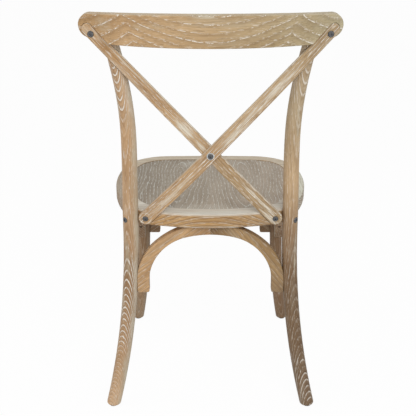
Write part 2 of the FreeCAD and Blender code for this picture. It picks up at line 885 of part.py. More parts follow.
# Name, middle, turn about Z, half span, rise of the end screw and leg of each half arch
# on the left side and of the left half of the rear and front arches.
left_halves = (
    ("rear_arch", rear_arch_middle, 0, rear_half_span, end_screw_rise, "rear"),
    ("front_arch", front_arch_middle, 0, front_half_span, end_screw_rise, "front"),
    ("side_arch_rear", side_arch_middle, 90, side_half_span, side_end_screw_rise, "rear"),
    ("side_arch_front", side_arch_middle, -90, side_half_span, side_end_screw_rise, "front"),
)


def left_arch_screws(kind):
    screws = []
    for name, middle, degrees, half_span, rise, leg in left_halves:
        screw = end_screw(half_span, rise) if kind == "end" else crown_screw(half_span)
        screws.append(placed(screw, middle, degrees))
    return screws


def arch_screws(kind):
    left = left_arch_screws(kind)
    return left + [mirrored(screw) for screw in left]


def arch_half(middle, degrees, half_span, leg):
    """Half arch in its place, scribed round its leg and bored for dowel and screws."""
    half = placed(arch_half_blank(half_span), middle, degrees).cut(leg)
    along = FreeCAD.Rotation(up, degrees).multVec(vector(1, 0, 0))
    hole = dowel_hole(arch_dowel_length, arch_dowel_middle() + middle, along)
    return cut_all(half.cut(hole), left_arch_screws("end") + left_arch_screws("crown"))


def arch_dowels():
    across = vector(1, 0, 0)
    along = vector(0, 1, 0)
    pins = []
    for middle, direction in (
            (rear_arch_middle, across), (front_arch_middle, across), (side_arch_middle, along)):
        pins.append(dowel(arch_dowel_length, arch_dowel_middle() + middle, direction))
    pins.append(mirrored(pins[-1]))
    return Part.makeCompound(pins)


def crest_rail():
    rail = cut_all(crest_blank(), slat_housings() + slat_screws(slat_length))
    mortise = crest_mortise()
    return rail.cut(mortise).cut(mirrored(mortise))


def rear_leg(blank, ring):
    """Left rear leg, housed over the frame's corner and under the two slats."""
    tools = slat_housings() + slat_screws(slat_length) + [
        ring, rear_leg_bolt_hole(), head_room(leg_bolt_seat, rear_bearing * -1),
        glide(rear_foot)]
    return cut_all(blank, tools + arch_screws("end"))


def front_leg(blank):
    return cut_all(blank, [glide(front_foot)] + arch_screws("end"))


def seat_rails(ring):
    """Rear, front and left rails, bored for dowels, bolts, tenons and screws."""
    bolt_hole = rear_leg_bolt_hole()
    nut_hole = barrel_nut_hole()
    mortise = front_mortise()
    tools = slat_housings() + slat_screws(0) + frame_dowel_holes() + arch_screws("crown")
    for hole in (bolt_hole, nut_hole, mortise):
        tools += [hole, mirrored(hole)]
    bored = cut_all(ring, tools)
    rear_region = rail_region(rear_corner, bearing(rear_joint_angle, 1), 1)
    front_region = rail_region(front_corner, bearing(front_joint_angle, -1), -1)
    sides = bored.cut(rear_region).cut(front_region).Solids
    left = [solid for solid in sides if solid.CenterOfMass.x > 0]
    return bored.common(rear_region), bored.common(front_region), left[0]


def single(shape):
    """The one solid of a shape."""
    return shape.Solids[0] if len(shape.Solids) == 1 else shape


def build():
    ring = seat_ring()
    rear_blank = rear_leg_blank()
    front_blank = front_leg_blank()
    legs = {"rear": rear_blank, "front": front_blank}
    rear_rail, front_rail, left_rail = seat_rails(ring)
    nodes = {
        "crest_rail": crest_rail(),
        "seat_rail_rear": rear_rail,
        "seat_rail_front": front_rail,
        "seat_panel": seat_panel(),
        "cross_slat_inner": cross_slat(inner_slat_bow),
        "cross_slat_outer": mirrored(cross_slat(outer_slat_bow)),
        "seat_frame_dowels": seat_frame_dowels(),
        "arch_dowels": arch_dowels(),
        "slat_top_screws": Part.makeCompound(slat_screws(slat_length)),
        "slat_bottom_screws": Part.makeCompound(slat_screws(0)),
        "crossing_bolt": crossing_bolt(),
        "crossing_washers": crossing_washers(),
        "crossing_nut": crossing_nut(),
        "rear_leg_bolts": both_sides(rear_leg_bolt()),
        "barrel_nuts": both_sides(barrel_nut()),
        "arch_end_screws": Part.makeCompound(arch_screws("end")),
        "arch_crown_screws": Part.makeCompound(arch_screws("crown")),
        "foot_glides": foot_glides(),
    }
    pairs = {
        "rear_leg": rear_leg(rear_blank, ring),
        "front_leg": front_leg(front_blank),
        "seat_rail": left_rail,
    }
    for name, middle, degrees, half_span, rise, leg in left_halves:
        pairs[name] = arch_half(middle, degrees, half_span, legs[leg])
    for name, shape in pairs.items():
        nodes[name + "_left"] = shape
        nodes[name + "_right"] = mirrored(shape)
    return nodes


os.makedirs("parts", exist_ok=True)
for name, shape in build().items():
    shape = single(shape)
    shape.exportStep("parts/" + name + ".step")
    print(name, len(shape.Solids), shape.isValid(), round(shape.Volume / 1000, 2))
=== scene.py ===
import math

import bpy
import numpy as np
from mathutils import Matrix, Vector


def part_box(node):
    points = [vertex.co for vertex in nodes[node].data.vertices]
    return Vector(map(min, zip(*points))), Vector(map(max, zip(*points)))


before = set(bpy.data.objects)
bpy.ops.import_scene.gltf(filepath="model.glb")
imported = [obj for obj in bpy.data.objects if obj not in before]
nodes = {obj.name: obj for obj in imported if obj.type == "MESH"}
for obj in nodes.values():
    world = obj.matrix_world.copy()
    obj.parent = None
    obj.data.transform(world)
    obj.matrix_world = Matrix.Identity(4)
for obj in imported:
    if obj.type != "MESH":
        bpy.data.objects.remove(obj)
scene = bpy.context.scene


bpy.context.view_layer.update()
print("frame loaded:", len(nodes), "nodes")


# camera

cameraSettings = {
    "place": (0.00523, 1.76426, 1.09752),   # metres, behind the chair and a little above its top
    "tip": 21.38,                           # degrees below level
    "lens": 69.81,                          # mm
    "sensor": 36.0,                         # mm
    "clip": (0.05, 300.0),                  # metres
}


def addCamera(settings):
    data = bpy.data.cameras.new("viewCamera")
    data.sensor_width = settings["sensor"]
    data.lens = settings["lens"]
    data.clip_start, data.clip_end = settings["clip"]
    camera = bpy.data.objects.new("viewCamera", data)
    camera.location = settings["place"]
    camera.rotation_euler = (math.radians(90 - settings["tip"]), 0, math.pi)
    scene.collection.objects.link(camera)
    scene.camera = camera


addCamera(cameraSettings)
scene.view_settings.view_transform = "Standard"
print("camera placed")


# shader writing

class Wire:
    # a socket that can be written into sums: every operator adds one Math node
    def __init__(self, finish, socket):
        self.finish = finish
        self.socket = socket

    def __add__(self, other):
        return self.finish.maths("ADD", self, other)

    def __radd__(self, other):
        return self.finish.maths("ADD", other, self)

    def __sub__(self, other):
        return self.finish.maths("SUBTRACT", self, other)

    def __rsub__(self, other):
        return self.finish.maths("SUBTRACT", other, self)

    def __mul__(self, other):
        return self.finish.maths("MULTIPLY", self, other)

    def __rmul__(self, other):
        return self.finish.maths("MULTIPLY", other, self)

    def __truediv__(self, other):
        return self.finish.maths("DIVIDE", self, other)


class Finish:
    # the node tree of one material or world, and the few ways that its nodes are added
    def __init__(self, owner):
        owner.use_nodes = True
        self.owner = owner
        self.tree = owner.node_tree
        self.tree.nodes.clear()

    def node(self, kind, settings=None, inputs=None, output=0):
        # settings go first, a ramp's stops among them, then the values or links of the sockets
        made = self.tree.nodes.new(kind)
        for key, value in (settings or {}).items():
            if key == "stops":
                elements = made.color_ramp.elements
                for place, colour in value[1:-1]:
                    elements.new(place).color = colour
                elements[0].position, elements[0].color = value[0]
                elements[-1].position, elements[-1].color = value[-1]
            else:
                setattr(made, key, value)
        for key, value in (inputs or {}).items():
            if isinstance(value, Wire):
                self.tree.links.new(value.socket, made.inputs[key])
            else:
                made.inputs[key].default_value = value
        wires = {socket.name: Wire(self, socket) for socket in made.outputs}
        if output is None:
            return wires
        return wires[output] if isinstance(output, str) else Wire(self, made.outputs[output])

    def maths(self, operation, first, second=0.0, clamp=False):
        return self.node("ShaderNodeMath", {"operation": operation, "use_clamp": clamp},
                         {0: first, 1: second})

    def step(self, value, low, high):
        # 0 below low, 1 above high, smooth between
        return self.node("ShaderNodeMapRange", {"interpolation_type": "SMOOTHSTEP"},
                         {"Value": value, "From Min": low, "From Max": high})

    def noise(self, vector, scale, detail=2.0, roughness=0.5):
        # scale counts the blots in a metre, along, across and out of the board
        stretched = self.node("ShaderNodeVectorMath", {"operation": "MULTIPLY"}, {0: vector, 1: scale})
        return self.node("ShaderNodeTexNoise", {"noise_dimensions": "3D"},
                         {"Vector": stretched, "Scale": 1.0, "Detail": detail, "Roughness": roughness})

    def chance(self, count):
        # the same random share for all of one ring
        return self.node("ShaderNodeTexWhiteNoise", {"noise_dimensions": "1D"}, {"W": count})

    def mix(self, factor, first, second, blend="MIX"):
        # sockets 6 and 7 of a Mix node take its two colours, and output 2 gives the mixed one
        return self.node("ShaderNodeMix", {"data_type": "RGBA", "blend_type": blend},
                         {0: factor, 6: first, 7: second}, output=2)

    def near(self, local, middle, size):
        # 1 in the inner quarter of an egg shape, 0 outside it; the half sizes are in metres
        offset = self.node("ShaderNodeVectorMath", {"operation": "SUBTRACT"}, {0: local, 1: middle})
        scaled = self.node("ShaderNodeVectorMath", {"operation": "DIVIDE"}, {0: offset, 1: size})
        reach = self.node("ShaderNodeVectorMath", {"operation": "LENGTH"}, {0: scaled}, output="Value")
        return 1 - self.step(reach, 0.25, 1.0)

    def ring(self, point, radius, width):
        # 1 on a circle round the point, seen from behind the chair, 0 a width away from it
        offset = self.node("ShaderNodeVectorMath", {"operation": "SUBTRACT"}, {0: self.place(), 1: point})
        flat = self.node("ShaderNodeVectorMath", {"operation": "MULTIPLY"}, {0: offset, 1: (1.0, 0.0, 1.0)})
        reach = self.node("ShaderNodeVectorMath", {"operation": "LENGTH"}, {0: flat}, output="Value")
        return 1 - self.step(self.maths("ABSOLUTE", reach - radius), width * 0.4, width)

    def split(self, vector):
        return list(self.node("ShaderNodeSeparateXYZ", None, {0: vector}, output=None).values())

    def place(self):
        return self.node("ShaderNodeTexCoord", output="Object")

    def turnedTo(self, direction):
        # 1 where the surface looks along the direction, 0 where it is edge on, and below
        normal = self.node("ShaderNodeNewGeometry", output="Normal")
        return self.node("ShaderNodeVectorMath", {"operation": "DOT_PRODUCT"},
                         {0: normal, 1: Vector(direction).normalized()}, output="Value")

    def seenPlainly(self):
        # 1 for what the camera sees, straight, in a shiny surface or through a clear one
        path = self.node("ShaderNodeLightPath", output=None)
        seen = path["Is Camera Ray"] + path["Is Glossy Ray"]
        return self.maths("ADD", seen, path["Is Transmission Ray"], clamp=True)

    def done(self, shader, kind="ShaderNodeOutputMaterial"):
        self.node(kind, None, {"Surface": shader}, output=None)
        return self.owner


def tint(red, green, blue):
    # a screen colour, 0 to 255, as the linear colour that a socket takes
    shares = np.array([red, green, blue]) / 255.0
    linear = np.where(shares <= 0.04045, shares / 12.92, ((shares + 0.055) / 1.055) ** 2.4)
    return (*linear.tolist(), 1.0)


def boardTurn(along, face):
    # the turn of a board: its fibres run along the first direction, its wide face looks along the second
    fibre = Vector(along).normalized()
    across = Vector(face).normalized().cross(fibre).normalized()
    return Matrix((fibre, across, fibre.cross(across))).transposed().to_euler()


# limed wood

woodDefaults = {
    "middle": (0.0, 0.0, 0.0),       # where the board's own axes start, metres
    "along": (1.0, 0.0, 0.0),        # the way its fibres run
    "face": (0.0, 1.0, 0.0),         # the way its wide face looks
    "pith": (0.05, -0.12),           # the tree's centre, across and behind the face, metres
    "taper": 0.0,                    # how fast the centre comes nearer along the board
    "ringWidth": 0.006,
    "sway": 0.010,                   # how far the rings wander, metres
    "swayScale": (3.0, 14.0, 14.0),
    "light": (200, 168, 131),
    "deep": (174, 139, 100),
    "late": (134, 102, 71),
    "haze": (204, 192, 168),
    "lime": (240, 235, 224),
    "lineEdge": (0.10, 0.26),        # where in a ring its open grain fades out
    "grooveReach": 2.2,              # how many times as far the shade beside a line goes
    "earlyEdge": (0.08, 0.50),       # where in a ring its early wood fades out
    "lateEdge": (0.55, 0.92),        # where its late wood fades in
    "lateEnd": (0.95, 1.0),          # and out again
    "broken": (38.0, 150.0, 150.0),  # how finely the lines break up, in a metre
    "fill": 0.0,                     # more or less of the open grain filled
    "ringVariety": 0.12,             # how much one ring is filled more than another
    "poreEarly": 0.10,               # how much likelier white pores are in early wood
    "fillEdge": (0.44, 0.58),        # noise values between which the filling sets in
    "poreEdge": (0.62, 0.74),        # the same for short white pores
    "dashEdge": (0.66, 0.76),        # for longer white pores
    "hazeEdge": (0.48, 0.72),        # for clouds of thin white
    "cloudEdge": (0.35, 0.68),       # for clouds of the deep colour
    "fibreEdge": (0.44, 0.74),       # for dark fibres
    "hazeShare": 0.45,               # strengths: the thin white
    "lineShare": 0.55,               # the white in the open grain
    "poreShare": 0.5,                # the white pores
    "lateShare": 0.35,               # dark late wood
    "fibreShare": 0.52,              # thin dark fibres
    "grooveShare": 0.30,             # a thin shade beside each filled line
    "darkShare": 0.25,               # open grain that the white missed
    "figure": [],                    # stretches along the board where the white lines show fully, metres
    "figureRest": 0.3,               # their strength elsewhere
    "figureEase": 0.03,              # metres over which a stretch fades in
    "washes": [],                    # whitish blots: middle and half sizes on the board, and strength
    "blotEdge": (0.64, 0.94),
    "blotPush": 0.36,                # how far a blot's middle is lifted over the noise around it
    "facings": [],                   # directions whose surfaces are painted whiter, and how much: lime kept there together with painted light and painted sheen
    "facingEdge": (0.20, 0.90),
    "rims": [],                      # circles where white stayed: middle, radius, width and strength
    "rimEdge": (0.55, 0.85),
    "shadeAxis": 0,                  # 0 for tones and painted light along the board, 1 for them across it
    "shades": None,                  # start and end, metres, and the colours multiplied in between: the wood's own tone together with painted light and painted shade
    "bump": 0.25,
    "bumpHeight": 0.0008,            # metres
    "roughness": 0.56,
    "refraction": 1.42,
    "gloss": 0.35,
    "fibreScale": (28.0, 420.0, 420.0),   # blots in a metre, along, across and out of the board
    "poreScale": (70.0, 700.0, 700.0),
    "dashScale": (40.0, 300.0, 300.0),
    "cloudScale": (5.0, 24.0, 24.0),
    "washScale": (9.0, 60.0, 60.0),
    "streakScale": (11.0, 380.0, 380.0),
}


def ringsOf(finish, board, local):
    # the count of rings out from a slanting centre line, moved about by slow noise
    along, across, out = finish.split(local)
    wander = finish.noise(local, board["swayScale"], 2.0, 0.45) - 0.5
    sideways = across - board["pith"][0] + wander * board["sway"]
    outward = out - board["pith"][1] + along * board["taper"] + wander * board["sway"]
    return finish.maths("SQRT", sideways * sideways + outward * outward) / board["ringWidth"]


def figureShown(finish, board, along):
    # 1 in the stretches where the figure shows fully, less between them
    if not board["figure"]:
        return 1.0
    inside = 0.0
    ease = board["figureEase"]
    for low, high in board["figure"]:
        rise = finish.step(along, low, low + ease)
        inside = inside + rise * (1 - finish.step(along, high - ease, high))
    return inside * (1 - board["figureRest"]) + board["figureRest"]


def openGrain(finish, board, local, rings):
    # the start of each ring: where white fills it, where the white missed it, and the shade beside it
    phase = finish.maths("FRACT", rings)
    strength = finish.chance(finish.maths("FLOOR", rings))
    broken = finish.noise(local, board["broken"], 2.0, 0.6)
    filled = finish.step(broken + strength * board["ringVariety"] + board["fill"], *board["fillEdge"])
    shown = figureShown(finish, board, finish.split(local)[0])
    start, end = board["lineEdge"]
    band = (1 - finish.step(phase, start, end)) * shown
    beside = (1 - finish.step(phase, end, end * board["grooveReach"])) * shown
    return band * filled, band * (1 - filled), beside * filled


def hazeOver(finish, board, local, wash, pores):
    # thin white that stayed: in clouds, in the blots and in the rims, and on some facings, where it is lime
    # together with painted light and painted sheen
    streaks = finish.noise(local, board["streakScale"], 3.0, 0.65)
    haze = finish.step(wash, *board["hazeEdge"]) * board["hazeShare"]
    for middle, size, share in board["washes"]:
        lifted = finish.near(local, middle, size) * board["blotPush"] + streaks
        blot = finish.step(lifted, *board["blotEdge"])
        haze = finish.maths("ADD", haze, blot * share, clamp=True)
    # faces turned one way are painted whiter: painted light and painted sheen mixed with lime
    for direction, share in board["facings"]:
        turned = finish.step(finish.turnedTo(direction), *board["facingEdge"])
        limeAndPaintedLight = turned * (0.05 + wash * 0.6 + streaks * 1.2)
        haze = finish.maths("ADD", haze, limeAndPaintedLight * share, clamp=True)
    for middle, radius, width, share in board["rims"]:
        worn = finish.step(wash + pores * 0.4, *board["rimEdge"])
        rim = finish.ring(middle, radius, width) * worn
        haze = finish.maths("MAXIMUM", haze, rim * share)
    return haze


def bareWood(finish, board, local, late, fibre):
    # light and deep clouds, dark late wood and fibres, and the board's tones from end to end, which carry
    # painted light and painted shade as well
    clouds = finish.noise(local, board["cloudScale"], 2.0, 0.5)
    lateColour = tint(*board["late"])
    cloudy = finish.step(clouds, *board["cloudEdge"])
    fibrous = finish.step(fibre, *board["fibreEdge"])
    colour = finish.mix(cloudy, tint(*board["light"]), tint(*board["deep"]))
    colour = finish.mix(late * board["lateShare"], colour, lateColour)
    colour = finish.mix(fibrous * board["fibreShare"], colour, lateColour)
    # tones along or across the board: wood tone with painted light and painted shade multiplied in
    if board["shades"]:
        start, end, stops = board["shades"]
        share = (finish.split(local)[board["shadeAxis"]] - start) / (end - start)
        ramp = finish.node("ShaderNodeValToRGB",
                           {"stops": [(place, (*shade, 1.0)) for place, shade in stops]}, {0: share})
        colour = finish.mix(1.0, colour, ramp, "MULTIPLY")
    return colour


def limedWood(name, changes, ringsAt=ringsOf):
    # one board's material: bare wood, then haze, then dark grain, then the white that fills it
    board = {**woodDefaults, **changes}
    finish = Finish(bpy.data.materials.new(name))
    turn = boardTurn(board["along"], board["face"])
    local = finish.node("ShaderNodeMapping", {"vector_type": "TEXTURE"},
                        {"Vector": finish.place(), "Location": board["middle"], "Rotation": turn})
    rings = ringsAt(finish, board, local)
    phase = finish.maths("FRACT", rings)
    early = 1 - finish.step(phase, *board["earlyEdge"])
    late = finish.step(phase, *board["lateEdge"]) * (1 - finish.step(phase, *board["lateEnd"]))
    fibre = finish.noise(local, board["fibreScale"], 3.0, 0.6)
    pores = finish.noise(local, board["poreScale"], 2.0, 0.5)
    dashes = finish.noise(local, board["dashScale"], 2.0, 0.5)
    wash = finish.noise(local, board["washScale"], 3.0, 0.6)

    line, missed, groove = openGrain(finish, board, local, rings)
    short = finish.step(pores + early * board["poreEarly"], *board["poreEdge"])
    longer = finish.step(dashes + early * board["poreEarly"], *board["dashEdge"])
    flecks = finish.maths("ADD", short, longer, clamp=True)
    white = finish.maths("ADD", line * board["lineShare"], flecks * board["poreShare"], clamp=True)
    haze = hazeOver(finish, board, local, wash, pores)
    dark = missed * board["darkShare"] + groove * board["grooveShare"]

    colour = bareWood(finish, board, local, late, fibre)
    colour = finish.mix(haze, colour, tint(*board["haze"]))
    colour = finish.mix(dark, colour, tint(*board["late"]))
    colour = finish.mix(white, colour, tint(*board["lime"]))

    relief = fibre * 0.5 - late * 0.2 - early * 0.35 - flecks * 0.3
    bump = finish.node("ShaderNodeBump", None,
                       {"Strength": board["bump"], "Distance": board["bumpHeight"], "Height": relief})
    rough = board["roughness"] + white * 0.16 + haze * 0.10 + fibre * 0.06
    shader = finish.node("ShaderNodeBsdfPrincipled", None,
                         {"Base Color": colour, "Roughness": rough, "Normal": bump,
                          "IOR": board["refraction"], "Specular IOR Level": board["gloss"]})
    return finish.done(shader)


def dress(names, material):
    # puts the material on the named nodes
    for name in names:
        slots = nodes[name].data.materials
        for place in range(len(slots)):
            slots[place] = material


# crest rail

crestBoard = {
    "middle": (0.0, 0.235, 0.855),
    "along": (-1.0, 0.0, 0.0),
    "face": (0.0, 0.989, -0.144),
    "apexPlace": 0.157,              # the figure's two ridges, metres either side of the middle
    "apexLean": 0.45,                # how far they lean out towards the top edge
    "apexRise": 0.040,               # how high they stand over the valley between them
    "outerFall": 0.72,               # how steeply the lines drop outside the ridges
    "outerEase": 2.2,                # how soon that drop eases
    "inward": 0.35,                  # how fast the lines sink as they go into the board
    "firstRing": 20.0,               # keeps the count of rings above 0
    "ringWidth": 0.0165,
    "sway": 0.60,                    # here in rings
    "swayScale": (9.0, 16.0, 16.0),
    "light": (198, 167, 129),
    "deep": (180, 148, 110),
    "late": (132, 104, 74),
    "haze": (200, 188, 162),
    # the top face is painted whiter: painted sheen over the lime
    "facings": [((0.0, 0.0, 1.0), 0.50)],
    "lineEdge": (0.03, 0.11),
    "hazeShare": 0.30,
    "lineShare": 0.85,
    "poreShare": 0.36,
    "lateShare": 0.28,
    "darkShare": 0.55,
    "broken": (150.0, 150.0, 150.0),
    "fill": -0.09,
    "washes": [((0.006, -0.024, 0.0), (0.045, 0.008, 0.04), 0.2),
               ((-0.01, 0.030, 0.0), (0.05, 0.006, 0.04), 0.9)],
    "shades": (-0.26, 0.26, [(0.0, (0.80, 0.72, 0.58)), (0.18, (1.06, 1.02, 0.96)),
                             (0.5, (1.00, 1.02, 0.98)), (0.75, (0.84, 0.93, 0.94)),
                             (1.0, (0.88, 1.12, 1.28))]),
}


def crestRings(finish, board, local):
    # lines that sag between two leaning ridges and drop away outside them, ever more gently
    along, across, out = finish.split(local)
    side = finish.maths("ABSOLUTE", along) - across * board["apexLean"]
    inner = finish.maths("MINIMUM", side, board["apexPlace"]) / board["apexPlace"]
    outer = finish.maths("MAXIMUM", side - board["apexPlace"], 0.0)
    drop = outer * (board["outerFall"] - outer * board["outerEase"])
    height = inner * inner * board["apexRise"] - drop
    wander = (finish.noise(local, board["swayScale"], 2.0, 0.5) - 0.5) * board["sway"]
    return (across - height + out * board["inward"]) / board["ringWidth"] + wander + board["firstRing"]


dress(["crest_rail"], limedWood("crest_limed_wood", crestBoard, crestRings))


# legs

legBoard = {
    "along": (0.0, 0.0, 1.0),
    "face": (0.0, 1.0, 0.0),
    "middle": (0.19, 0.15, 0.0),
    "ringWidth": 0.0027,
    "sway": 0.005,
    "swayScale": (4.0, 12.0, 12.0),
    "light": (196, 164, 128),
    "deep": (174, 141, 105),
    "haze": (196, 186, 162),
    "lineEdge": (0.12, 0.30),
    "hazeShare": 0.45,
    "lineShare": 0.85,
    "grooveShare": 0.45,
    "fill": 0.06,
    "poreShare": 0.40,
    "darkShare": 0.10,
}

legs = {
    "rear_leg_left": {
        "pith": (-0.075, -0.13), "figure": [(0.13, 0.36), (0.66, 0.86)],
        # the inner side, turned to the sitter's right, is painted whiter: painted light
        "facings": [((-1.0, 0.0, 0.0), 0.55)],
        "taper": -0.045, "ringWidth": 0.0029, "lineShare": 0.66, "haze": (198, 190, 168),
        "figureRest": 0.14,
        "washes": [((0.80, -0.006, 0.0), (0.04, 0.03, 0.06), 1.0)],
        # the lighter and darker stretches up the leg are painted light and painted shade over the wood's
        # tone
        "shades": (0.0, 0.88, [(0.0, (1.18, 1.18, 1.22)), (0.18, (0.94, 0.90, 0.88)),
                               (0.36, (0.78, 0.73, 0.70)), (0.52, (1.00, 0.95, 0.90)),
                               (0.72, (1.34, 1.36, 1.40)), (0.86, (1.02, 1.00, 1.00)),
                               (1.0, (0.86, 0.84, 0.84))])},
    "rear_leg_right": {
        "middle": (-0.19, 0.15, 0.0), "pith": (0.095, -0.11), "figure": [(-0.05, 0.13), (0.70, 0.86)],
        "figureRest": 0.14, "haze": (200, 192, 172), "ringWidth": 0.0046, "grooveShare": 0.2,
        "taper": -0.02, "lineShare": 0.50, "fill": 0.0, "poreShare": 0.26, "hazeShare": 0.15,
        "washes": [((0.38, 0.004, 0.012), (0.11, 0.005, 0.03), 1.0),
                   ((0.70, 0.012, 0.012), (0.14, 0.006, 0.03), 0.8),
                   ((0.55, 0.0, 0.012), (0.10, 0.004, 0.03), 0.8)],
        # the lower half is painted shade, darkened to about 0.4, and the upper part painted light, over the
        # wood's tone
        "shades": (0.0, 0.88, [(0.0, (0.38, 0.37, 0.38)), (0.30, (0.40, 0.38, 0.36)),
                               (0.46, (0.60, 0.56, 0.52)), (0.60, (1.12, 1.18, 1.20)),
                               (0.78, (1.10, 1.32, 1.52)), (0.88, (0.94, 1.08, 1.20)),
                               (1.0, (0.76, 0.86, 0.94))])},
    "front_leg_left": {
        "middle": (0.18, -0.20, 0.0), "pith": (0.03, 0.15), "figureRest": 0.1, "figure": [(0.3, 0.42)],
        "poreShare": 0.16, "hazeShare": 0.12,
        "facings": [((-1.0, 0.0, 0.3), 0.15)], "haze": (196, 204, 194),
        "washes": [((0.37, 0.012, 0.0), (0.06, 0.010, 0.06), 0.55)],
        # the tones are painted shade from the seat above, over the wood's tone
        "shades": (0.0, 0.43, [(0.0, (0.74, 0.74, 0.76)), (0.5, (0.70, 0.66, 0.62)),
                               (1.0, (0.60, 0.54, 0.48))])},
    "front_leg_right": {
        "middle": (-0.18, -0.20, 0.0), "pith": (-0.02, 0.14), "figureRest": 0.1, "figure": [(0.3, 0.42)],
        "poreShare": 0.16, "hazeShare": 0.12,
        # the tones are painted shade from the seat above, over the wood's tone
        "shades": (0.0, 0.43, [(0.0, (0.52, 0.48, 0.46)), (1.0, (0.50, 0.46, 0.42))])},
}

for name, changes in legs.items():
    dress([name], limedWood(name + "_limed_wood", {**legBoard, **changes}))


# slats

slatSlope = math.radians(47.56)      # how steeply the slats rise
slatLean = math.radians(6.1)         # how far their plane leans back
slatHalfWidth = 0.0130               # metres, at the round lower end
rimInset = 0.0002                    # how far inside that end its white rim lies
screwHeadRadius = 0.006


def roundEnd():
    # the centre of the round lower end on the sitter's left, where that slat's screw sits
    low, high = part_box("slat_bottom_screws")
    middle = (Vector(low) + Vector(high)) / 2
    return (high[0] - screwHeadRadius, middle[1], middle[2])


slatRise = (math.sin(slatLean) * math.sin(slatSlope), math.cos(slatLean) * math.sin(slatSlope))
slatBoard = {
    "face": (0.0, math.cos(slatLean), -math.sin(slatLean)),
    "ringWidth": 0.0055,
    "sway": 0.003,
    "swayScale": (1.2, 10.0, 10.0),
    "light": (208, 175, 134),
    "deep": (188, 152, 110),
    "haze": (222, 212, 192),
    "fibreShare": 0.62,
    "lineEdge": (0.10, 0.30),
    "lineShare": 0.40,
    "poreShare": 0.46,
    "hazeShare": 0.30,
}

endX, endY, endZ = roundEnd()
rimRadius = slatHalfWidth - rimInset

# the inner slat rises to the sitter's left, on the sitter's side of the outer one where they cross
slats = {
    "inner": {
        "middle": (0.0, 0.16, 0.59), "along": (math.cos(slatSlope), *slatRise), "pith": (0.16, -0.05),
        # the edge faces turned up and sideways are painted whiter: painted highlight together with lime
        "fill": -0.10, "darkShare": 0.40, "facings": [((-0.7, 0.0, 0.7), 0.7)],
        "washes": [((0.080, 0.0, 0.0), (0.045, 0.030, 0.05), 1.0),
                   ((0.03, -0.002, 0.0), (0.03, 0.010, 0.05), 0.9),
                   ((-0.15, -0.007, 0.0), (0.11, 0.008, 0.05), 1.0),
                   ((-0.19, 0.004, 0.0), (0.04, 0.012, 0.05), 0.9),
                   ((0.24, -0.011, 0.0), (0.12, 0.004, 0.05), 0.6)],
        "rims": [((-endX, endY, endZ), rimRadius, 0.0018, 0.45)],
        "shades": (-0.23, 0.33, [(0.0, (0.66, 0.68, 0.66)), (0.35, (0.80, 0.81, 0.78)),
                                 (0.55, (1.04, 1.06, 1.08)), (0.72, (0.88, 0.84, 0.80)),
                                 (1.0, (1.04, 1.0, 0.92))])},
    "outer": {
        "middle": (0.0, 0.17, 0.59), "along": (-math.cos(slatSlope), *slatRise), "pith": (-0.15, -0.06),
        # the edge faces turned up and sideways are painted whiter: painted highlight together with lime
        "fill": -0.05, "facings": [((0.7, 0.0, 0.7), 0.4)],
        "washes": [((0.15, 0.002, 0.0), (0.20, 0.012, 0.05), 0.65),
                   ((0.06, -0.002, 0.0), (0.06, 0.013, 0.05), 0.8),
                   ((-0.12, 0.002, 0.0), (0.12, 0.010, 0.05), 0.6)],
        "rims": [((endX, endY, endZ), rimRadius, 0.0018, 0.85)],
        "shades": (-0.23, 0.33, [(0.0, (0.94, 0.90, 0.86)), (0.45, (0.88, 0.86, 0.84)),
                                 (0.8, (0.96, 1.06, 1.16)), (1.0, (0.82, 0.92, 1.00))])},
}

for side, changes in slats.items():
    dress(["cross_slat_" + side], limedWood(side + "_slat_limed_wood", {**slatBoard, **changes}))


# seat frame and panel

railBoard = {
    "ringWidth": 0.0065,
    "sway": 0.012,
    "light": (196, 160, 114),
    "deep": (170, 133, 88),
    "late": (120, 90, 60),
    "haze": (226, 221, 208),
    # the tops are painted whiter: painted light from above together with lime
    "facings": [((0.0, 0.0, 1.0), 0.92)],
    "lineShare": 0.30,
    "poreShare": 0.35,
    "lateShare": 0.50,
    "hazeShare": 0.16,
    "darkShare": 0.45,
}

rails = {
    "seat_rail_rear": {
        "middle": (0.0, 0.15, 0.44), "along": (-1, 0, 0), "face": (0, 1, 0), "pith": (0.030, -0.050),
        "ringWidth": 0.0042, "lateShare": 0.58, "lineShare": 0.16, "poreShare": 0.26, "sway": 0.006,
        "washes": [((0.0, -0.012, 0.0), (0.13, 0.006, 0.05), 0.9)],
        "shades": (-0.13, 0.13, [(0.0, (1.04, 1.0, 0.94)), (0.5, (1.02, 1.0, 0.94)),
                                 (1.0, (0.86, 0.86, 0.86))])},
    "seat_rail_front": {
        "middle": (0.0, -0.23, 0.44), "along": (1, 0, 0), "face": (0, 1, 0), "pith": (0.10, 0.10),
        "haze": (222, 209, 186)},
    "seat_rail_left": {
        "middle": (0.2, -0.03, 0.44), "along": (0, 1, 0), "face": (1, 0, 0), "pith": (0.08, -0.10),
        "haze": (188, 174, 154), "light": (164, 142, 116), "deep": (142, 120, 96)},
    "seat_rail_right": {
        "middle": (-0.2, -0.03, 0.44), "along": (0, 1, 0), "face": (-1, 0, 0), "pith": (0.08, -0.1),
        "haze": (226, 224, 206), "light": (178, 166, 146), "deep": (156, 146, 126)},
}

for name, changes in rails.items():
    dress([name], limedWood(name + "_limed_wood", {**railBoard, **changes}))

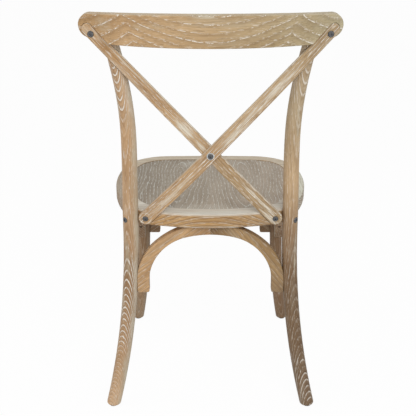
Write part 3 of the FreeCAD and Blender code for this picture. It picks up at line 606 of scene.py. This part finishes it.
panelBoard = {
    "middle": (0.0, 0.0, 0.456),
    "along": (0.0, 1.0, 0.0),
    "face": (0.0, 0.0, 1.0),
    "leafStart": -0.155,             # the veneer's leaves repeat across the seat, metres
    "leafWidth": 0.155,
    "apexPlace": -0.100,             # how far forward the leaf's figure closes
    "apexSide": 0.006,
    "leafShift": 0.37,               # rings by which one leaf's lines differ from the next one's
    "taper": 0.17,
    "ringWidth": 0.0078,
    "sway": 0.030,
    "swayScale": (5.0, 11.0, 11.0),
    "light": (190, 177, 160),
    "deep": (172, 159, 142),
    "late": (142, 127, 110),
    "haze": (194, 186, 172),
    "lime": (226, 226, 218),
    "lineEdge": (0.05, 0.20),
    "broken": (170.0, 260.0, 260.0),
    "fill": -0.06,
    "hazeShare": 0.35,
    "lineShare": 0.70,
    "poreShare": 0.66,
    "lateShare": 0.24,
    "darkShare": 0.30,
    "bump": 0.35,
    "shadeAxis": 1,
    "shades": (-0.19, 0.19, [(0.0, (0.70, 0.69, 0.67)), (0.30, (0.80, 0.79, 0.76)),
                             (0.45, (0.98, 0.97, 0.95)), (1.0, (0.98, 0.94, 0.91))]),
    "washes": [((-0.175, -0.05, 0.0), (0.04, 0.05, 0.05), 0.9),
               ((0.12, -0.02, 0.0), (0.03, 0.13, 0.05), 0.6)],
}


def leafRings(finish, board, local):
    # each leaf of veneer has the same long pointed figure, closed where the tree's centre comes through
    along, across, out = finish.split(local)
    wander = finish.noise(local, board["swayScale"], 3.0, 0.5) - 0.5
    shifted = (across - board["leafStart"]) / board["leafWidth"]
    sideways = (finish.maths("FRACT", shifted) - 0.5) * board["leafWidth"] - board["apexSide"]
    sideways = sideways + wander * board["sway"]
    depth = (along - board["apexPlace"]) * board["taper"] + wander * board["sway"]
    reach = finish.maths("SQRT", sideways * sideways + depth * depth)
    return reach / board["ringWidth"] + finish.maths("FLOOR", shifted) * board["leafShift"]


dress(["seat_panel"], limedWood("seat_panel_limed_board", panelBoard, leafRings))


# arches

archBoard = {
    "ringWidth": 0.0045,
    "sway": 0.006,
    "light": (194, 161, 122),
    "deep": (168, 134, 97),
    "late": (122, 94, 66),
    "lineEdge": (0.06, 0.2),
    "lineShare": 0.30,
    "poreShare": 0.32,
    "hazeShare": 0.20,
    "darkShare": 0.45,
}

# the rear arch's right half and the arches beyond are darker in the shade of the seat
rearGloom = {"light": (180, 149, 106), "deep": (152, 122, 82)}
farGloom = {"light": (150, 120, 90), "deep": (124, 98, 72)}

arches = {
    "rear_arch_left": {
        "middle": (0.1, 0.15, 0.37), "along": (-0.80, 0.0, 0.60), "face": (0, 1, 0),
        "lineShare": 0.10, "lateShare": 0.30, "darkShare": 0.25, "hazeShare": 0.10,
        "shades": (-0.12, 0.12, [(0.0, (1.14, 1.10, 1.04)), (1.0, (1.10, 1.04, 0.94))])},
    "rear_arch_right": {
        **rearGloom, "middle": (-0.1, 0.15, 0.37), "along": (0.62, 0.0, 0.78), "face": (0, 1, 0),
        "pith": (-0.06, -0.1), "lateShare": 0.45, "lineShare": 0.08, "poreShare": 0.2,
        "shades": (-0.13, 0.11, [(0.0, (0.74, 0.76, 0.86)), (0.30, (0.92, 0.92, 0.92)),
                                 (0.60, (1.06, 1.04, 1.0)), (0.85, (0.92, 0.90, 0.90)),
                                 (1.0, (0.58, 0.56, 0.58))]),
        "washes": [((-0.11, -0.005, 0.0), (0.02, 0.015, 0.05), 1.0)]},
    "front_arch_left": {
        **farGloom, "middle": (0.1, -0.2, 0.37), "along": (-0.80, 0.0, 0.60), "face": (0, 1, 0)},
    "front_arch_right": {
        **farGloom, "middle": (-0.1, -0.2, 0.37), "along": (0.80, 0.0, 0.60), "face": (0, 1, 0)},
    "side_arch_rear_left": {
        **farGloom, "middle": (0.2, 0.1, 0.37), "along": (0, -0.80, 0.60), "face": (1, 0, 0)},
    "side_arch_rear_right": {
        **farGloom, "middle": (-0.2, 0.1, 0.37), "along": (0, -0.80, 0.60), "face": (-1, 0, 0)},
    "side_arch_front_left": {
        **farGloom, "middle": (0.2, -0.15, 0.37), "along": (0, 0.80, 0.60), "face": (1, 0, 0)},
    "side_arch_front_right": {
        **farGloom, "middle": (-0.2, -0.15, 0.37), "along": (0, 0.80, 0.60), "face": (-1, 0, 0)},
}

for name, changes in arches.items():
    if name.startswith("side"):
        # the inner faces of the side arches kept some white
        inward = (-changes["middle"][0], 0, 0)
        changes = {**changes, "facings": [(inward, 0.35)]}
    dress([name], limedWood(name + "_limed_wood", {**archBoard, **changes}))


# fixings

steelSettings = {
    "dustScale": (260.0, 260.0, 260.0),   # blots in a metre
    "dustEdge": (0.45, 0.70),
    "scuffScale": (900.0, 900.0, 900.0),
    "metallic": 0.95,
    "bump": 0.15,
    "bumpHeight": 0.0003,                 # metres
}


def steel(name, settings):
    # dull metal with clouds of dust and fine scuffs
    finish = Finish(bpy.data.materials.new(name))
    place = finish.place()
    dusting = finish.noise(place, settings["dustScale"], 3.0, 0.6)
    dust = finish.step(dusting, *settings["dustEdge"]) * settings["dustShare"]
    scuff = finish.noise(place, settings["scuffScale"], 2.0, 0.5)
    bump = finish.node("ShaderNodeBump", None,
                       {"Strength": settings["bump"], "Distance": settings["bumpHeight"], "Height": scuff})
    colour = finish.mix(dust, tint(*settings["clean"]), tint(*settings["dusty"]))
    rough = settings["roughness"] + dust * 0.3 + scuff * 0.06
    shader = finish.node("ShaderNodeBsdfPrincipled", None,
                         {"Base Color": colour, "Metallic": settings["metallic"] - dust * 0.6,
                          "Roughness": rough, "Normal": bump})
    return finish.done(shader)


steels = {
    "fixing_dark_steel": {
        "clean": (92, 92, 94), "dusty": (150, 146, 140), "roughness": 0.30, "dustShare": 0.35,
        "pieces": ["slat_top_screws", "slat_bottom_screws", "rear_leg_bolts", "crossing_bolt",
                   "crossing_nut"]},
    # the screws' dark brown is painted shade of the place where they sit
    "arch_screw_browned_steel": {
        "clean": (84, 70, 58), "dusty": (132, 112, 90), "roughness": 0.45, "dustShare": 0.60,
        "pieces": ["arch_end_screws"]},
    "fixing_zinc_steel": {
        "clean": (214, 216, 214), "dusty": (226, 224, 216), "roughness": 0.36, "dustShare": 0.45,
        "pieces": ["barrel_nuts", "crossing_washers", "arch_crown_screws"]},
    "foot_glide_finish": {
        "clean": (52, 50, 48), "dusty": (90, 84, 78), "roughness": 0.55, "dustShare": 0.40,
        "pieces": ["foot_glides"]},
}

for name, changes in steels.items():
    dress(changes["pieces"], steel(name, {**steelSettings, **changes}))

dowelBoard = {"light": (214, 190, 150), "deep": (200, 172, 130), "lineShare": 0.1, "poreShare": 0.1,
              "hazeShare": 0.1}
dress(["seat_frame_dowels", "arch_dowels"], limedWood("dowel_pale_wood", dowelBoard))
print("pieces dressed")


# floor and light

roomSettings = {
    "floorHalf": 60.0,               # metres, so that its edge is never in view
    "floorWhite": 0.96,              # share of plain white that the camera sees in the floor
    "floorColour": (0.95, 0.95, 0.95, 1.0),
    "worldLight": 0.46,
    "keyPower": 52.0,
    "keyPlace": (-0.7, 2.6, 2.5),
    "keySize": 2.4,
    "fillPower": 10.0,
    "fillPlace": (1.9, 0.6, 1.6),
    "fillSize": 1.8,
    "aim": (0.0, 0.0, 0.45),         # where both lamps point
}


def addFloor(settings):
    half = settings["floorHalf"]
    mesh = bpy.data.meshes.new("studioFloor")
    corners = [(-half, -half, 0), (half, -half, 0), (half, half, 0), (-half, half, 0)]
    mesh.from_pydata(corners, [], [(0, 1, 2, 3)])
    floor = bpy.data.objects.new("studioFloor", mesh)
    scene.collection.objects.link(floor)
    finish = Finish(bpy.data.materials.new("studio_floor_white"))
    white = finish.node("ShaderNodeBsdfDiffuse", None, {"Color": settings["floorColour"]})
    plain = finish.node("ShaderNodeEmission", None, {"Color": (1, 1, 1, 1), "Strength": 1.0})
    seen = finish.seenPlainly() * settings["floorWhite"]
    mixed = finish.node("ShaderNodeMixShader", None, {0: seen, 1: white, 2: plain})
    mesh.materials.append(finish.done(mixed))


def addWorld(settings):
    scene.world = bpy.data.worlds.new("studioWorld")
    finish = Finish(scene.world)
    glow = finish.node("ShaderNodeBackground", None,
                       {"Color": (1, 1, 1, 1), "Strength": settings["worldLight"]})
    plain = finish.node("ShaderNodeBackground", None, {"Color": (1, 1, 1, 1), "Strength": 1.0})
    mixed = finish.node("ShaderNodeMixShader", None, {0: finish.seenPlainly(), 1: glow, 2: plain})
    finish.done(mixed, "ShaderNodeOutputWorld")


def addLamp(name, place, size, power, aim):
    data = bpy.data.lights.new(name, "AREA")
    data.shape = "DISK"
    data.size = size
    data.energy = power
    lamp = bpy.data.objects.new(name, data)
    lamp.location = place
    lamp.rotation_euler = (Vector(place) - Vector(aim)).to_track_quat("Z", "Y").to_euler()
    scene.collection.objects.link(lamp)


addFloor(roomSettings)
addWorld(roomSettings)
for lamp in ["key", "fill"]:
    place, size, power = [roomSettings[lamp + part] for part in ["Place", "Size", "Power"]]
    addLamp(lamp + "Lamp", place, size, power, roomSettings["aim"])
print("floor and lamps placed")
